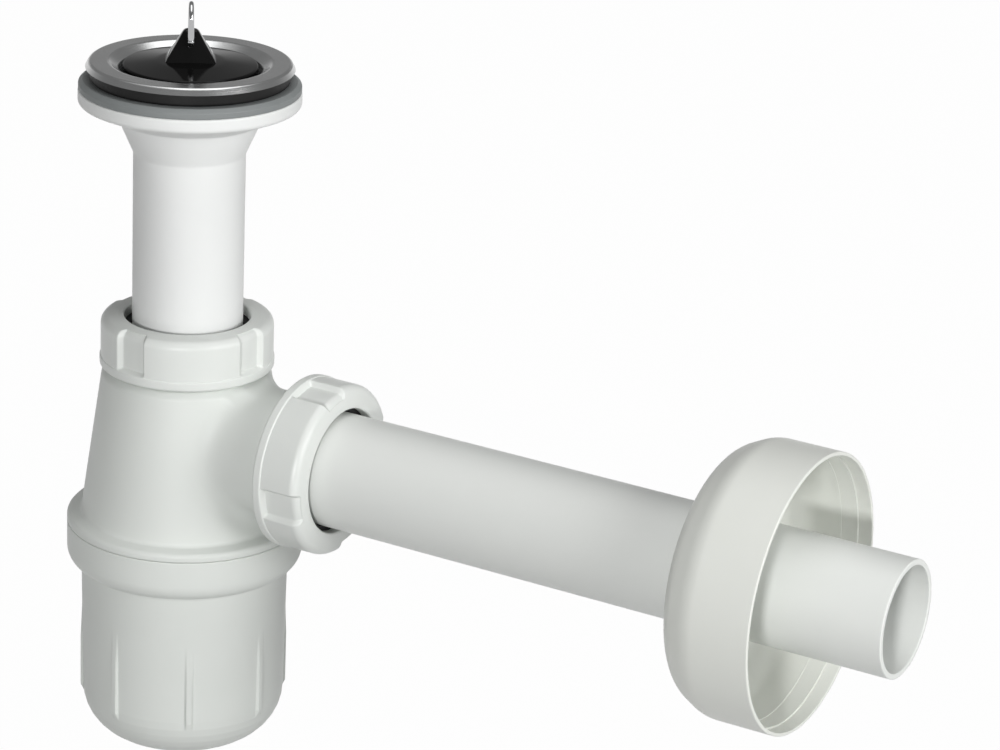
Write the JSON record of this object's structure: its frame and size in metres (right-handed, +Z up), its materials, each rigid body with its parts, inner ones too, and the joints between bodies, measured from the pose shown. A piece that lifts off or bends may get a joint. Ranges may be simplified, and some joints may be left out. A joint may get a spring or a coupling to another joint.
{
  "type": "basin bottle trap",
  "caption": "White plastic bottle trap for a wash basin, with steel waste flange, rubber plug, threaded cup, compression nuts, outlet pipe and wall rosette.",
  "frame": {"origin": "on the waste's axis, in the plane where the basin's outlet is clamped between the black seal and the grey washer", "axes": "+Z up out of the basin, +X along the outlet pipe towards the wall"},
  "size_m": [0.255, 0.0752, 0.2162],
  "materials": {
    "stainless_steel": "fine polished stainless sheet",
    "black_rubber": "matte black rubber",
    "grey_washer": "matte mid-grey plastic",
    "white_plastic": "slightly glossy white plastic",
    "brass": "turned brass",
    "screw_steel": "stainless steel",
    "plug_rubber": "glossy black rubber",
    "chrome_wire": "bright chromed wire",
    "nut_plastic": "slightly glossy white plastic",
    "black_plastic": "hard black plastic",
    "body_plastic": "slightly glossy white plastic",
    "pipe_plastic": "smooth white pipe",
    "rosette_plastic": "slightly glossy white plastic"
  },
  "bodies": {
    "waste": {"waste_flange": "stainless_steel", "flange_seal": "black_rubber", "basin_washer": "grey_washer", "tailpiece": "white_plastic", "hub_insert": "brass", "centre_screw": "screw_steel"},
    "plug": {"plug": "plug_rubber"},
    "loop": {"plug_loop": "chrome_wire"},
    "inlet_wedge": {"inlet_seal": "black_rubber"},
    "trap": {"trap_body": "body_plastic", "dip_tube": "white_plastic", "outlet_seal": "black_rubber"},
    "inlet_ring": {"inlet_slip_ring": "black_plastic"},
    "inlet_nut": {"inlet_nut": "nut_plastic"},
    "outlet_ring": {"outlet_slip_ring": "black_plastic"},
    "outlet_nut": {"outlet_nut": "nut_plastic"},
    "cup_ring": {"cup_seal": "black_rubber"},
    "cup": {"cup": "body_plastic"},
    "pipe": {"outlet_pipe": "pipe_plastic"},
    "rosette": {"wall_rosette": "rosette_plastic"}
  },
  "joints": [
    {"name": "plug_lift", "type": "slide", "parent": "waste", "child": "plug", "axis": [0, 0, 1], "range_m": [0, 0.025]},
    {"name": "loop_swing", "type": "hinge", "parent": "plug", "child": "loop", "pos_m": [0, 0, 0.01065], "axis": [-0.5736, 0.8192, 0], "range_deg": [-95, 95]},
    {"name": "height_adjust", "type": "slide", "parent": "waste", "child": "inlet_wedge", "axis": [0, 0, 1], "range_m": [-0.012, 0.04]},
    {"name": "trap_swivel", "type": "hinge", "parent": "inlet_wedge", "child": "trap", "pos_m": [0, 0, -0.1024], "axis": [0, 0, 1], "continuous": true},
    {"name": "inlet_nut_rise", "type": "slide", "parent": "trap", "child": "inlet_ring", "axis": [0, 0, 1], "range_m": [0, 0.00462]},
    {"name": "inlet_nut_turn", "type": "hinge", "parent": "inlet_ring", "child": "inlet_nut", "pos_m": [0, 0, -0.1024], "axis": [0, 0, 1], "range_deg": [0, 720]},
    {"name": "outlet_nut_rise", "type": "slide", "parent": "trap", "child": "outlet_ring", "axis": [1, 0, 0], "range_m": [0, 0.00462]},
    {"name": "outlet_nut_turn", "type": "hinge", "parent": "outlet_ring", "child": "outlet_nut", "pos_m": [0.045, 0, -0.1024], "axis": [1, 0, 0], "range_deg": [0, 720]},
    {"name": "cup_drop", "type": "slide", "parent": "trap", "child": "cup_ring", "axis": [0, 0, -1], "range_m": [0, 0.008]},
    {"name": "cup_unscrew", "type": "hinge", "parent": "cup_ring", "child": "cup", "pos_m": [0, 0, -0.15], "axis": [0, 0, -1], "range_deg": [0, 720]},
    {"name": "pipe_pull", "type": "slide", "parent": "trap", "child": "pipe", "axis": [1, 0, 0], "range_m": [0, 0.012]},
    {"name": "rosette_slide", "type": "slide", "parent": "pipe", "child": "rosette", "axis": [1, 0, 0], "range_m": [-0.1, 0.02]}
  ],
  "couplings": [
    {"joint": "inlet_nut_rise", "follows": "inlet_nut_turn", "m_per_rad": 0.00036749},
    {"joint": "outlet_nut_rise", "follows": "outlet_nut_turn", "m_per_rad": 0.00036749},
    {"joint": "cup_drop", "follows": "cup_unscrew", "m_per_rad": 0.00063662}
  ]
}
